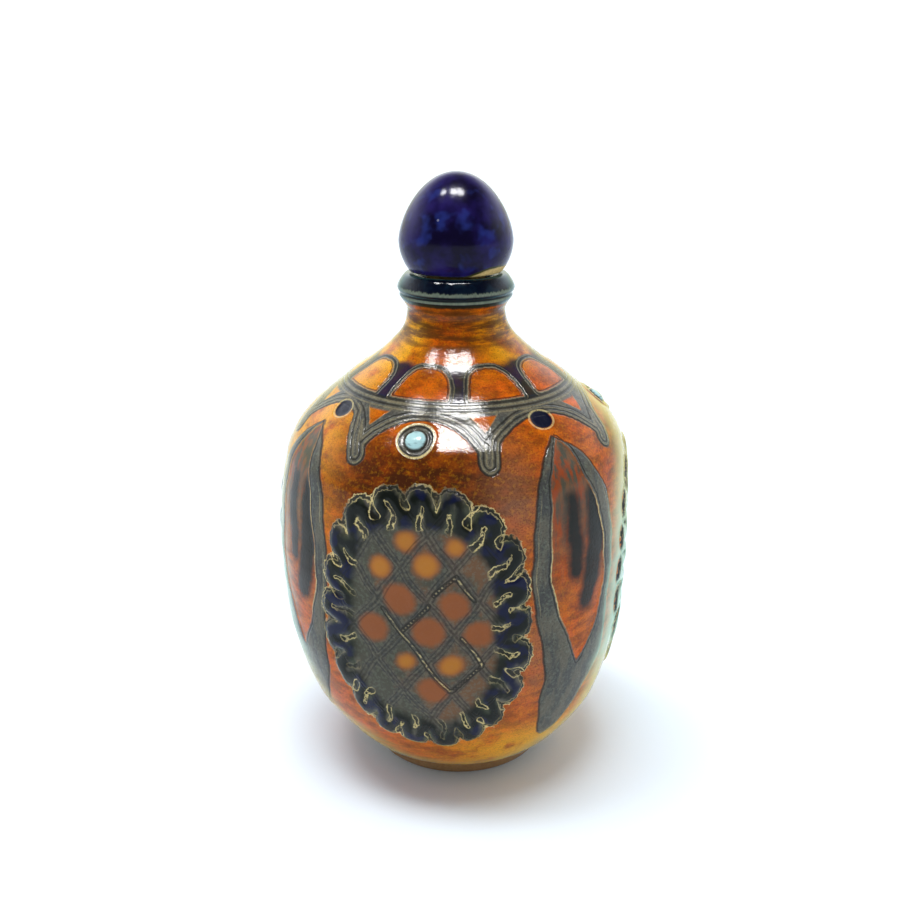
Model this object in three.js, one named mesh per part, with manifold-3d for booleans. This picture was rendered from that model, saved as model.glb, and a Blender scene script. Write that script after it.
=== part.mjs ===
// A thrown pottery flask with a carved medallion and a loose egg-shaped stopper.
// Millimetres, +Z up, origin at the centre of the foot. Azimuth 0 faces -Y and grows towards +X.
import * as THREE from "three";
import { mergeVertices } from "three/addons/utils/BufferGeometryUtils.js";
import Module from "manifold-3d";

// Flask, outside
const FOOT_RADIUS = 24.8;
const FOOT_TOP_RADIUS = 25.6;
const FOOT_HEIGHT = 3.1;
const FOOT_GROOVE_DEPTH = 0.7;
const FOOT_GROOVE_HEIGHT = 1.2;
const BELLY_START_RADIUS = 26.9;
const BODY_RADIUS = 48.8;
const BODY_WIDEST_HEIGHT = 66;
const NECK_RADIUS = 13.2;
const NECK_HEIGHT = 128.7;
const NECK_LENGTH = 1.4;
const LIP_FLARE_HEIGHT = 2.5;
const NECK_RIDGE_RADIUS = 15.15;
const NECK_RIDGE_HEIGHT = 1.3;
const LIP_GROOVE_DEPTH = 0.3;
const LIP_GROOVE_HEIGHT = 0.4;
const LIP_RADIUS = 15.7;
const LIP_CREST_RADIUS = 12.9;
const LIP_BEAD_HEIGHT = 4.7;

// Flask, inside and underneath
const WALL = 4.5;
const BORE_RADIUS = 8.7;
const BORE_BELOW_NECK = 5;
const MOUTH_FLARE = 1.2;
const MOUTH_FLARE_DEPTH = 1.6;
const FOOT_RING_WIDTH = 5.2;
const FOOT_RING_SLOPE = 1;
const FOOT_RECESS = 3.6;
const FLOOR = 4.6;
const FLOOR_RADIUS = 17.4;
const FLOOR_DISH = 0.4;

// Free curves as shares of the rise and of the change in radius: [height, radius]
const BELLY_SHAPE = [
  [0, 0], [0.037, 0.15], [0.144, 0.416], [0.3, 0.69], [0.57, 0.913], [0.786, 0.977], [1, 1],
];
const LIP_SHAPE = [[0, 0.83], [0.2, 1], [0.45, 0.87], [0.8, 0.5], [1, 0]];
const SHOULDER_SHAPE = [
  [0, 1], [0.21, 0.982], [0.4, 0.942], [0.474, 0.899], [0.526, 0.846], [0.579, 0.767],
  [0.684, 0.54], [0.79, 0.284], [0.895, 0.084], [0.95, 0.02], [1, 0],
];

// Stopper
const SEAT_GAP = 0.3;
const EGG_RADIUS = 15.15;
const EGG_WIDEST_ABOVE_SEAT = 8.25;
const EGG_UPPER_HEIGHT = 17.45;
const EGG_LOWER_HALF_HEIGHT = 13.8;
const EGG_POINT = 1.56;
const SEAT_RADIUS = 11.4;
const PLUG_CLEARANCE = 0.8;
const PLUG_TAPER = 0.7;
const PLUG_LENGTH = 12;
const PLUG_CHAMFER = 1;
const PLUG_FILLET = 0.8;

// Ornament round the body: medallions and pods take turns
const MEDALLIONS = 3;
const FIRST_AZIMUTH = -11;
const SPACING_DRIFT_DEGREES = 11.5;
const MEDALLION_BELOW_WIDEST = 9;
const MEDALLION_HALF_DEGREES = 34;
const MEDALLION_HALF_HEIGHT = 37.5;
const MEDALLION_FULLNESS = 2.45;
const RUFFLE_WIDTH = 11;
const RUFFLE_LOBES = 21;
const RUFFLE_OUTER_NOTCH = 4.6;
const RUFFLE_INNER_NOTCH = 2.8;
const RUFFLE_LIFT = 0.8;
const RUFFLE_INNER_LIFT = 0.55;
const BOSS_BELOW_FESTOON = 4.2;
const BOSS_OFFSET_DEGREES = -4;
const BOSS_RADIUS = 2.8;
const BOSS_LIFT = 1.3;
const BOSS_EDGE_LIFT = 0.2;
const BOSS_RING_RADIUS = 4.8;
const BOSS_RING_HALF_WIDTH = 0.9;
const BOSS_RING_LIFT = 0.6;
const POD_BELOW_WIDEST = 48;
const POD_ABOVE_WIDEST = 37.5;
const POD_HALF_DEGREES = 16.8;
const POD_SHAPE = [
  [0, 0], [0.03, 0.47], [0.14, 0.66], [0.26, 0.76], [0.5, 0.95], [0.67, 1], [0.82, 0.89],
  [0.91, 0.63], [0.96, 0.4], [1, 0],
];
const FESTOON_TIPS_DEGREES = [-79, -37, 10.5, 61, 134, 208];
const FESTOON_BELOW_NECK = 20.5;
const FESTOON_DROP = 10.2;
const FESTOON_POWER = 2.2;
const LINE_WIDTH = 1.1;
const LINE_DEPTH = 0.45;

// Fineness of the meshes
const OUTSIDE_SEGMENTS = 42;
const INSIDE_SEGMENTS = 24;
const STOPPER_SEGMENTS = 24;
const BOSS_SEGMENTS = 10;
const POD_STEPS = 8;
const FESTOON_STEPS = 6;
const SLOPE_STEP = 0.25;
const INTO_WALL = 1.2;
const ABOVE_WALL = 0.8;

const wasm = await Module();
wasm.setup();

const radians = THREE.MathUtils.degToRad;
const point = (radius, height) => new THREE.Vector2(radius, height);

// The value of a smooth curve through [position, value] pairs.
function along(shape, position) {
  let i = 0;
  while (i < shape.length - 2 && position > shape[i + 1][0]) i += 1;
  const steepness = (k) => {
    const before = shape[Math.max(k - 1, 0)];
    const after = shape[Math.min(k + 1, shape.length - 1)];
    return (after[1] - before[1]) / (after[0] - before[0]);
  };
  const [start, startValue] = shape[i];
  const [end, endValue] = shape[i + 1];
  const step = end - start;
  const t = (position - start) / step;
  return (
    startValue * (1 + 2 * t) * (1 - t) ** 2 +
    endValue * t * t * (3 - 2 * t) +
    steepness(i) * step * t * (1 - t) ** 2 -
    steepness(i + 1) * step * t * t * (1 - t)
  );
}

const bellyStart = FOOT_HEIGHT + FOOT_GROOVE_HEIGHT;
const ridgeHeight = NECK_HEIGHT + NECK_LENGTH + LIP_FLARE_HEIGHT;
const beadHeight = ridgeHeight + NECK_RIDGE_HEIGHT + LIP_GROOVE_HEIGHT;
const lipHeight = beadHeight + LIP_BEAD_HEIGHT;
const medallionHeight = BODY_WIDEST_HEIGHT - MEDALLION_BELOW_WIDEST;
const festoonHeight = NECK_HEIGHT - FESTOON_BELOW_NECK;
const bossHeight = festoonHeight - BOSS_BELOW_FESTOON;

// The outer radius of belly, shoulder and neck at a height.
function bodyRadius(height) {
  if (height <= BODY_WIDEST_HEIGHT) {
    const share = (height - bellyStart) / (BODY_WIDEST_HEIGHT - bellyStart);
    return BELLY_START_RADIUS + (BODY_RADIUS - BELLY_START_RADIUS) * along(BELLY_SHAPE, share);
  }
  const share = Math.min((height - BODY_WIDEST_HEIGHT) / (NECK_HEIGHT - BODY_WIDEST_HEIGHT), 1);
  return NECK_RADIUS + (BODY_RADIUS - NECK_RADIUS) * along(SHOULDER_SHAPE, share);
}

// The change of radius per millimetre of height.
const bodySlope = (height) =>
  (bodyRadius(height + SLOPE_STEP) - bodyRadius(height - SLOPE_STEP)) / (2 * SLOPE_STEP);

// A point on the body, lifted off it along its normal.
function onBody(degrees, height, lift) {
  const slope = bodySlope(height);
  const stretch = Math.hypot(1, slope);
  const radius = bodyRadius(height) + lift / stretch;
  const z = height - (lift * slope) / stretch;
  return [radius * Math.sin(radians(degrees)), -radius * Math.cos(radians(degrees)), z];
}

// A point on the body at a distance across and up the surface from another one.
function beside(degrees, height, across, up, lift) {
  const z = height + up / Math.hypot(1, bodySlope(height));
  return onBody(degrees + THREE.MathUtils.radToDeg(across / bodyRadius(z)), z, lift);
}

function solidOf(geometry) {
  const plain = geometry.clone();
  plain.deleteAttribute("normal");
  plain.deleteAttribute("uv");
  const merged = mergeVertices(plain, 1e-4);
  return new wasm.Manifold(
    new wasm.Mesh({
      numProp: 3,
      vertProperties: merged.attributes.position.array,
      triVerts: new Uint32Array(merged.index.array),
    }),
  );
}

function solidFrom(corners, faces) {
  const geometry = new THREE.BufferGeometry();
  geometry.setAttribute("position", new THREE.Float32BufferAttribute(corners.flat(), 3));
  geometry.setIndex(faces.flat());
  return solidOf(geometry);
}

function turned(outline, segments) {
  return solidOf(new THREE.LatheGeometry(outline, segments).rotateX(Math.PI / 2));
}

// A solid between cross-sections of equal size. Open ends get a fan of triangles.
function swept(sections, closed) {
  const size = sections[0].length;
  const count = sections.length;
  const faces = [];
  for (let i = 0; i < (closed ? count : count - 1); i += 1) {
    const here = i * size;
    const next = ((i + 1) % count) * size;
    for (let k = 0; k < size; k += 1) {
      const l = (k + 1) % size;
      faces.push([here + k, next + k, next + l], [here + k, next + l, here + l]);
    }
  }
  if (!closed) {
    const last = (count - 1) * size;
    for (let k = 1; k < size - 1; k += 1) {
      faces.push([0, k, k + 1], [last, last + k + 1, last + k]);
    }
  }
  const made = solidFrom(sections.flat(), faces);
  return made.volume() > 0 ? made : solidFrom(sections.flat(), faces.map(([a, b, c]) => [a, c, b]));
}

// A V-shaped groove along a path of [degrees, height] on the body.
function groove(path, closed) {
  const sections = path.map(([degrees, height], i) => {
    const before = path[closed ? (i + path.length - 1) % path.length : Math.max(i - 1, 0)];
    const after = path[closed ? (i + 1) % path.length : Math.min(i + 1, path.length - 1)];
    const right = radians(after[0] - before[0]) * bodyRadius(height);
    const up = (after[1] - before[1]) * Math.hypot(1, bodySlope(height));
    const length = Math.hypot(right, up);
    const half = (LINE_WIDTH / 2) * (1 + ABOVE_WALL / LINE_DEPTH);
    const edge = (out) => beside(degrees, height, (-out * up) / length, (out * right) / length, ABOVE_WALL);
    return [edge(half), edge(-half), onBody(degrees, height, -LINE_DEPTH)];
  });
  return swept(sections, closed);
}

// The azimuth of step k of the ornament: even steps are medallions, odd ones pods.
function azimuthOf(k) {
  const turn = (180 / MEDALLIONS) * k;
  return FIRST_AZIMUTH + turn - SPACING_DRIFT_DEGREES * Math.sin(radians(turn));
}

// The ruffled border of a medallion, a folded band that bends out and in.
function ruffle(centre) {
  const halfAcross = radians(MEDALLION_HALF_DEGREES) * bodyRadius(medallionHeight);
  const evening = (MEDALLION_HALF_HEIGHT - halfAcross) / (MEDALLION_HALF_HEIGHT + halfAcross) / 2;
  const at = (angle, inwards, lift) => {
    const across = Math.sin(angle);
    const up = Math.cos(angle);
    const size = Math.abs(across) ** MEDALLION_FULLNESS + Math.abs(up) ** MEDALLION_FULLNESS;
    const fullness = size ** (-1 / MEDALLION_FULLNESS);
    const share = fullness - inwards / Math.hypot(halfAcross * across, MEDALLION_HALF_HEIGHT * up);
    const degrees = centre + MEDALLION_HALF_DEGREES * share * across;
    return onBody(degrees, medallionHeight + MEDALLION_HALF_HEIGHT * share * up, lift);
  };
  const sections = [];
  for (let lobe = 0; lobe < RUFFLE_LOBES; lobe += 1) {
    for (const part of [0, 0.17, 0.5, 0.83]) {
      const turn = (2 * Math.PI * (lobe + part - 0.5)) / RUFFLE_LOBES;
      const angle = turn + evening * Math.sin(2 * turn);
      const fold = Math.sin(Math.PI * part);
      const outer = RUFFLE_OUTER_NOTCH * (1 - fold) ** 1.5;
      const inner = RUFFLE_WIDTH - RUFFLE_INNER_NOTCH * fold ** 3;
      sections.push([
        at(angle, outer, -INTO_WALL),
        at(angle, outer, RUFFLE_LIFT),
        at(angle, inner, RUFFLE_INNER_LIFT),
        at(angle, inner, -INTO_WALL),
      ]);
    }
  }
  return swept(sections, true);
}

// A round boss in a raised ring, set on the shoulder over a medallion.
function boss(centre) {
  const rings = [
    [BOSS_RADIUS * 0.5, BOSS_LIFT * 0.85],
    [BOSS_RADIUS, BOSS_EDGE_LIFT],
    [BOSS_RING_RADIUS - BOSS_RING_HALF_WIDTH, BOSS_EDGE_LIFT / 2],
    [BOSS_RING_RADIUS, BOSS_RING_LIFT],
    [BOSS_RING_RADIUS + BOSS_RING_HALF_WIDTH, 0],
    [BOSS_RING_RADIUS + BOSS_RING_HALF_WIDTH, -INTO_WALL],
  ];
  const around = BOSS_SEGMENTS;
  const corners = [onBody(centre, bossHeight, BOSS_LIFT)];
  for (const [radius, lift] of rings) {
    for (let i = 0; i < around; i += 1) {
      const turn = (2 * Math.PI * i) / around;
      corners.push(beside(centre, bossHeight, radius * Math.sin(turn), radius * Math.cos(turn), lift));
    }
  }
  corners.push(onBody(centre, bossHeight, -INTO_WALL));
  const faces = [];
  for (let i = 0; i < around; i += 1) {
    const j = (i + 1) % around;
    faces.push([0, 1 + j, 1 + i]);
    for (let ring = 0; ring < rings.length - 1; ring += 1) {
      const inner = 1 + ring * around;
      const outer = inner + around;
      faces.push([inner + i, inner + j, outer + j], [inner + i, outer + j, outer + i]);
    }
    const last = 1 + (rings.length - 1) * around;
    faces.push([last + i, last + j, corners.length - 1]);
  }
  return solidFrom(corners, faces);
}

// The closed outline of a pod, as wide at each height as its shape list says.
function leafOutline(centre) {
  const side = (sign, from, to) => {
    const points = [];
    for (let i = 0; i < POD_STEPS; i += 1) {
      const share = from + ((to - from) * (1 - Math.cos((Math.PI * i) / POD_STEPS))) / 2;
      const degrees = centre + sign * POD_HALF_DEGREES * along(POD_SHAPE, share);
      const bottom = BODY_WIDEST_HEIGHT - POD_BELOW_WIDEST;
      points.push([degrees, bottom + (POD_BELOW_WIDEST + POD_ABOVE_WIDEST) * share]);
    }
    return points;
  };
  return [...side(1, 0, 1), ...side(-1, 1, 0)];
}

// One span of the festoon, from tip to tip: flat on top, steep at its ends.
function festoonPath(from, to) {
  const points = [];
  for (let i = 0; i <= FESTOON_STEPS; i += 1) {
    const t = Math.sin((Math.PI / 2) * ((2 * i) / FESTOON_STEPS - 1));
    const rise = Math.sqrt(1 - Math.abs(t) ** FESTOON_POWER);
    points.push([(from + to) / 2 + ((to - from) / 2) * t, festoonHeight - FESTOON_DROP * (1 - rise)]);
  }
  return points;
}

// The body's outer outline at a share of the rise from one height to another, moved inwards.
function bodyPoint(from, to, share, inwards) {
  const height = from + (to - from) * share;
  const slope = bodySlope(height);
  const stretch = Math.hypot(1, slope);
  return point(bodyRadius(height) - inwards / stretch, height + (inwards * slope) / stretch);
}

function outsideOutline() {
  const ringInside = FOOT_RADIUS - FOOT_RING_WIDTH;
  const outline = [point(0, FOOT_RECESS), point(ringInside - FOOT_RING_SLOPE, FOOT_RECESS)];
  outline.push(point(ringInside, 0), point(FOOT_RADIUS, 0), point(FOOT_TOP_RADIUS, FOOT_HEIGHT));
  outline.push(point(FOOT_TOP_RADIUS - FOOT_GROOVE_DEPTH, FOOT_HEIGHT + FOOT_GROOVE_HEIGHT / 3));
  for (const share of [0, 0.06, 0.14, 0.25, 0.4, 0.68]) {
    outline.push(bodyPoint(bellyStart, BODY_WIDEST_HEIGHT, share, 0));
  }
  for (const share of [0, 0.3, 0.44, 0.52, 0.59, 0.67, 0.75, 0.83, 0.91, 1]) {
    outline.push(bodyPoint(BODY_WIDEST_HEIGHT, NECK_HEIGHT, share, 0));
  }
  outline.push(point(NECK_RADIUS, NECK_HEIGHT + NECK_LENGTH));
  outline.push(point(NECK_RADIUS + (NECK_RIDGE_RADIUS - NECK_RADIUS) * 0.38, ridgeHeight - LIP_FLARE_HEIGHT / 2));
  outline.push(point(NECK_RIDGE_RADIUS, ridgeHeight + NECK_RIDGE_HEIGHT / 2));
  outline.push(point(NECK_RIDGE_RADIUS - LIP_GROOVE_DEPTH, beadHeight - LIP_GROOVE_HEIGHT / 2));
  for (const [rise, reach] of LIP_SHAPE) {
    const radius = LIP_CREST_RADIUS + (LIP_RADIUS - LIP_CREST_RADIUS) * reach;
    outline.push(point(radius, beadHeight + LIP_BEAD_HEIGHT * rise));
  }
  outline.push(point(BORE_RADIUS + MOUTH_FLARE, lipHeight));
  outline.push(point(BORE_RADIUS + MOUTH_FLARE / 4, lipHeight - MOUTH_FLARE_DEPTH));
  outline.push(point(0, lipHeight - MOUTH_FLARE_DEPTH));
  return outline;
}

function insideOutline() {
  const floorTop = FOOT_RECESS + FLOOR;
  const outline = [point(0, floorTop), point(FLOOR_RADIUS, floorTop + FLOOR_DISH)];
  for (const share of [0.09, 0.17, 0.28, 0.45, 0.7]) {
    outline.push(bodyPoint(bellyStart, BODY_WIDEST_HEIGHT, share, WALL));
  }
  for (const share of [0, 0.25, 0.42, 0.53, 0.63, 0.73, 0.82]) {
    outline.push(bodyPoint(BODY_WIDEST_HEIGHT, NECK_HEIGHT, share, WALL));
  }
  outline.push(point(BORE_RADIUS, NECK_HEIGHT - BORE_BELOW_NECK));
  outline.push(point(BORE_RADIUS, lipHeight + ABOVE_WALL));
  outline.push(point(0, lipHeight + ABOVE_WALL));
  return outline;
}

function flaskSolid() {
  const added = [];
  const cut = [];
  for (let k = 0; k < MEDALLIONS; k += 1) {
    added.push(ruffle(azimuthOf(2 * k)), boss(azimuthOf(2 * k) + BOSS_OFFSET_DEGREES));
    const pod = azimuthOf(2 * k + 1);
    cut.push(groove(leafOutline(pod), true));
  }
  FESTOON_TIPS_DEGREES.forEach((from, k) => {
    const to = FESTOON_TIPS_DEGREES[k + 1] ?? FESTOON_TIPS_DEGREES[0] + 360;
    cut.push(groove(festoonPath(from, to), false));
  });
  let solid = turned(outsideOutline(), OUTSIDE_SEGMENTS);
  for (const piece of cut) solid = solid.subtract(piece);
  for (const piece of added) solid = solid.add(piece);
  return solid.subtract(turned(insideOutline(), INSIDE_SEGMENTS));
}

function stopperOutline() {
  const seat = lipHeight + SEAT_GAP;
  const widest = seat + EGG_WIDEST_ABOVE_SEAT;
  const plug = BORE_RADIUS - PLUG_CLEARANCE;
  const outline = [point(0, seat - PLUG_LENGTH)];
  outline.push(point(plug - PLUG_TAPER - PLUG_CHAMFER, seat - PLUG_LENGTH));
  outline.push(point(plug - PLUG_TAPER, seat - PLUG_LENGTH + PLUG_CHAMFER));
  outline.push(point(plug, seat - PLUG_FILLET));
  outline.push(point(plug + PLUG_FILLET, seat));
  outline.push(point(SEAT_RADIUS, seat));
  const lower = (height) => EGG_RADIUS * Math.sqrt(1 - (height / EGG_LOWER_HALF_HEIGHT) ** 2);
  for (const share of [0.95, 0.7, 0.35]) {
    outline.push(point(lower(share * EGG_WIDEST_ABOVE_SEAT), widest - share * EGG_WIDEST_ABOVE_SEAT));
  }
  for (const share of [0, 0.2, 0.38, 0.54, 0.69, 0.82, 0.92, 0.98]) {
    outline.push(point(EGG_RADIUS * Math.sqrt(1 - share ** EGG_POINT), widest + share * EGG_UPPER_HEIGHT));
  }
  outline.push(point(0, widest + EGG_UPPER_HEIGHT));
  return outline;
}

function meshOf(name, solid, material) {
  const made = solid.getMesh();
  const geometry = new THREE.BufferGeometry();
  geometry.setAttribute("position", new THREE.Float32BufferAttribute(made.vertProperties, 3));
  geometry.setIndex(new THREE.Uint32BufferAttribute(made.triVerts, 1));
  geometry.computeVertexNormals();
  const mesh = new THREE.Mesh(geometry, material);
  mesh.name = name;
  return mesh;
}

const amberGlaze = new THREE.MeshStandardMaterial({ color: 0xa5561f, roughness: 0.25, flatShading: true });
const cobaltGlaze = new THREE.MeshStandardMaterial({ color: 0x1c1c66, roughness: 0.15, flatShading: true });

const flask = new THREE.Group();
flask.name = "pottery_flask";
flask.add(meshOf("flask", flaskSolid(), amberGlaze));
flask.add(meshOf("stopper", turned(stopperOutline(), STOPPER_SEGMENTS), cobaltGlaze));

export default flask;
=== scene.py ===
import math

import bpy
import numpy as np
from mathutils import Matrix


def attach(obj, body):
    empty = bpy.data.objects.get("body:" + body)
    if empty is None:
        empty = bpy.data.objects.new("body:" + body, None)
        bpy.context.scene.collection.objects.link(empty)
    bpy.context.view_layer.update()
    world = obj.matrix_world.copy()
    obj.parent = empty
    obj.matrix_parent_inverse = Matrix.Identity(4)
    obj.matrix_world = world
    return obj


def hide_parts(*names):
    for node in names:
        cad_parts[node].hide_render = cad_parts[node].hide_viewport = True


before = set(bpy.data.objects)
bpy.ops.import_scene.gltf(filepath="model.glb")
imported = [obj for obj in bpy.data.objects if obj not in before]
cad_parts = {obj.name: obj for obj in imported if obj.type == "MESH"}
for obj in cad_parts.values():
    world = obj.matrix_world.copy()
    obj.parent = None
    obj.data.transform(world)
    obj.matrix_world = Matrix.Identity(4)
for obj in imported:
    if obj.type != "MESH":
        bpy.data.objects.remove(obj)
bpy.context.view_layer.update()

# The flask's sizes in millimetres, as in the CAD part
MM = 0.001
FOOT_RADIUS = 24.8
FOOT_TOP_RADIUS = 25.6
FOOT_HEIGHT = 3.1
FOOT_GROOVE_DEPTH = 0.7
FOOT_GROOVE_HEIGHT = 1.2
FOOT_RING_WIDTH = 5.2
FOOT_RECESS = 3.6
FLOOR = 4.6
BELLY_START_RADIUS = 26.9
BODY_RADIUS = 48.8
BODY_WIDEST_HEIGHT = 66
NECK_RADIUS = 13.2
NECK_HEIGHT = 128.7
NECK_LENGTH = 1.4
LIP_FLARE_HEIGHT = 2.5
NECK_RIDGE_RADIUS = 15.15
NECK_RIDGE_HEIGHT = 1.3
LIP_GROOVE_DEPTH = 0.3
LIP_GROOVE_HEIGHT = 0.4
LIP_RADIUS = 15.7
LIP_CREST_RADIUS = 12.9
LIP_BEAD_HEIGHT = 4.7
WALL = 4.5
INSIDE_HEIGHTS = (118, 112.5, 107, 102, 97, 90, 80, 66, 52, 38, 27, 19, 13.5, 10.5)
BORE_RADIUS = 8.7
SEAT_GAP = 0.3
SEAT_RADIUS = 11.4
EGG_RADIUS = 15.15
EGG_WIDEST_ABOVE_SEAT = 8.25
EGG_UPPER_HEIGHT = 17.45
EGG_LOWER_HALF_HEIGHT = 13.8
EGG_POINT = 1.56
PLUG_RADIUS = 7.9
PLUG_TAPER = 0.7
PLUG_LENGTH = 12
BELLY_START = FOOT_HEIGHT + FOOT_GROOVE_HEIGHT
FLARE_START = NECK_HEIGHT + NECK_LENGTH
RIDGE_HEIGHT = FLARE_START + LIP_FLARE_HEIGHT + NECK_RIDGE_HEIGHT / 2
GROOVE_HEIGHT = RIDGE_HEIGHT + (NECK_RIDGE_HEIGHT + LIP_GROOVE_HEIGHT) / 2
BEAD_START = GROOVE_HEIGHT + LIP_GROOVE_HEIGHT / 2
LIP_HEIGHT = BEAD_START + LIP_BEAD_HEIGHT
BELLY_SHAPE = (
    (0, 0), (0.037, 0.15), (0.144, 0.416), (0.3, 0.69), (0.57, 0.913), (0.786, 0.977), (1, 1),
)
FLARE_SHAPE = ((0, 0), (0.063, 0.128), (0.413, 0.385), (0.603, 0.615), (0.857, 0.897), (1, 1))
LIP_SHAPE = (
    (0, 0.83), (0.06, 0.93), (0.2, 1), (0.32, 0.96), (0.45, 0.87), (0.58, 0.75), (0.7, 0.61),
    (0.85, 0.43), (0.957, 0.214), (1, 0),
)
SHOULDER_SHAPE = (
    (0, 1), (0.21, 0.982), (0.4, 0.942), (0.474, 0.899), (0.526, 0.846), (0.579, 0.767),
    (0.684, 0.54), (0.79, 0.284), (0.895, 0.084), (0.95, 0.02), (1, 0),
)

# The ornament, in degrees round the body and in millimetres
MEDALLIONS = 3
FIRST_AZIMUTH = -11
SPACING_DRIFT_DEGREES = 11.5
MEDALLION_HEIGHT = 57
MEDALLION_HALF_DEGREES = 34
MEDALLION_HALF_HEIGHT = 37.5
MEDALLION_FULLNESS = 2.45
RUFFLE_LOBES = 21
RUFFLE_WIDTH = 11.5
RUFFLE_PERIMETER = 208
RUFFLE_LIFT = 0.75
SCALLOP_DEPTH = 2.4
FOLD_MIDDLE = 5.6
FOLD_SWING = 2.9
DIAMOND_DEGREES = 15.5
DIAMOND_HEIGHT = 17.5
TRELLIS_OFFSET_DEGREES = 2

# The trellis' dots: degrees and millimetres from the medallion's middle, and radius
OCHRE_DOT_RADIUS = 3.7
DOTS = (
    (-4, 24.5, 3), (10.5, 23.5, 2.7), (-12, 17, 3.3), (2, 18.5, 3.6), (-6.5, 9, 4.4), (10, 8, 4),
    (-15, 0, 4.2), (2, 0.5, 4.3), (17, 0, 3.8), (-4.5, -8.5, 2.8), (9, -9, 3.4), (3.5, -17, 4),
)

# Bosses over the medallions and studs over the pods
BOSS_HEIGHT = 104
BOSS_OFFSET_DEGREES = -4
BOSS_RADIUS = 2.8
BOSS_RING_RADIUS = 4.8
BOSS_LIFT = 1.15
BOSS_RING_LIFT = 0.4
BOSS_GROOVE_DEPTH = 0.3
STUD_HEIGHT = 106.8
STUD_RADIUS = 2.6
STUD_STRETCH = 1.25
STUD_DEPTH = 0.3
STUD_OFFSETS_DEGREES = (-3, 0, 3)

# Cream paths along the trellis, in degrees and millimetres from the medallion's middle
TRACES = (
    ((-12.3, 6.1), (-6.2, -0.4), (-4.3, -2.3), (2.2, -9.7), (9.1, -17.3), (18.4, -9.3), (11.8, -1)),
    ((-5.7, 0.4), (2.3, 7.9)),
    ((4.2, 10.7), (11, 15.8), (16.1, 9.4)),
)

# The pods: shapes run from bottom to top, as (share of the length, share of the width or degrees)
POD_BOTTOM = 18
POD_TOP = 103.5
POD_HALF_DEGREES = 17.3
POD_LIFT = 0.12
POD_SWAY_DEGREES = (
    (0, -4.5), (0.03, -3), (0.14, 0), (0.26, 2.8), (0.38, 2.2), (0.5, 1.5), (0.72, 0.6),
    (0.84, -0.3), (1, -2.6),
)
POD_SWAYS = (1, 0.2, 0.5)
HEART_SWAY_DEGREES = (
    (0, 2.3), (0.164, 3.9), (0.328, 3.2), (0.459, 1.7), (0.616, 0.6), (0.749, -0.6),
    (0.869, -2), (1, -1.2),
)
POD_SHAPE = (
    (0, 0), (0.03, 0.26), (0.14, 0.56), (0.26, 0.76), (0.5, 0.95), (0.67, 1), (0.82, 0.89),
    (0.91, 0.63), (0.96, 0.4), (1, 0),
)
HEART_BOTTOM = 42
HEART_TOP = 103
HEART_HALF_DEGREES = 11.5
HEART_DEPTH = 0.16
HEART_SHAPE = (
    (0, 0), (0.164, 0.6), (0.328, 0.93), (0.459, 1), (0.616, 0.95), (0.749, 0.8), (0.869, 0.53),
    (0.96, 0.26), (1, 0),
)

# Dark flames in the hearts: half width, and path as (degrees, height)
FLAMES = (
    (2.3, ((-1.7, 89), (-1.5, 80), (0.2, 69))),
    (3.6, ((8.6, 88), (9, 78), (7.4, 68), (5.4, 60))),
)
FLAME_WIDEST_HEIGHT = 77
FLAME_TAPER = 0.06

# The festoon, the ring and the collar over it
FESTOON_TIPS_DEGREES = (-79, -37, 10.5, 61, 134, 208)
FESTOON_TOP = 108.2
FESTOON_TIP = 98
FESTOON_POWER = 2.2
FESTOON_GAP_HALF_DEGREES = 7.5
FESTOON_GAP_TOP = 109.4
FESTOON_GAP_BOTTOM = 105.6
FESTOON_SLANTS_DEGREES = (-4, -8, 3, 10, 3, -3)
FESTOON_TIP_RADIUS = 1.9
FESTOON_LIFT = 0.12
SHOULDER_SWELL = 0.48
SHOULDER_SWELL_HEIGHT = 112.5
RING_BOTTOM = 108.9
RING_LINES = (109.4, 110.6)
RING_GROOVES = (110, 111.1)
COLLAR_ARCHES = 9
COLLAR_FIRST_AZIMUTH = 20
COLLAR_BASE = 111.3
COLLAR_RISE = 6.4
COLLAR_HALF_DEGREES = 15
COLLAR_POWER = 3

# How the thrown axis wanders sideways: (height, shift)
LEAN = (
    (0, 0.6), (15, 0.35), (28, -0.35), (42, -0.8), (60, -1.1), (78, -0.95), (90, -0.35),
    (101, 0.2), (118, 0), (132, -0.35), (165, -0.35),
)
COLUMNS = 432
STOPPER_COLUMNS = 128

# Distances to the ornament are kept up to this many millimetres
FAR = 8.0
FAR_FROM_BOSS = 12.0


def along(shape, position):
    """The value of a smooth curve through (position, value) pairs."""
    places, values = np.array(shape, float).T
    last = len(places) - 1
    before = np.maximum(np.arange(last + 1) - 1, 0)
    after = np.minimum(np.arange(last + 1) + 1, last)
    steepness = (values[after] - values[before]) / (places[after] - places[before])
    i = np.clip(np.searchsorted(places, position, side="right") - 1, 0, last - 1)
    step = places[i + 1] - places[i]
    t = (position - places[i]) / step
    rise = values[i] * (1 + 2 * t) * (1 - t) ** 2 + values[i + 1] * t * t * (3 - 2 * t)
    return rise + steepness[i] * step * t * (1 - t) ** 2 - steepness[i + 1] * step * t * t * (1 - t)


def body_radius(height):
    """The outer radius of belly, shoulder and neck at each height."""
    height = np.asarray(height, float)
    low = np.clip((height - BELLY_START) / (BODY_WIDEST_HEIGHT - BELLY_START), 0, 1)
    high = np.clip((height - BODY_WIDEST_HEIGHT) / (NECK_HEIGHT - BODY_WIDEST_HEIGHT), 0, 1)
    belly = BELLY_START_RADIUS + (BODY_RADIUS - BELLY_START_RADIUS) * along(BELLY_SHAPE, low)
    shoulder = NECK_RADIUS + (BODY_RADIUS - NECK_RADIUS) * along(SHOULDER_SHAPE, high)
    return np.where(height <= BODY_WIDEST_HEIGHT, belly, shoulder)


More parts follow.
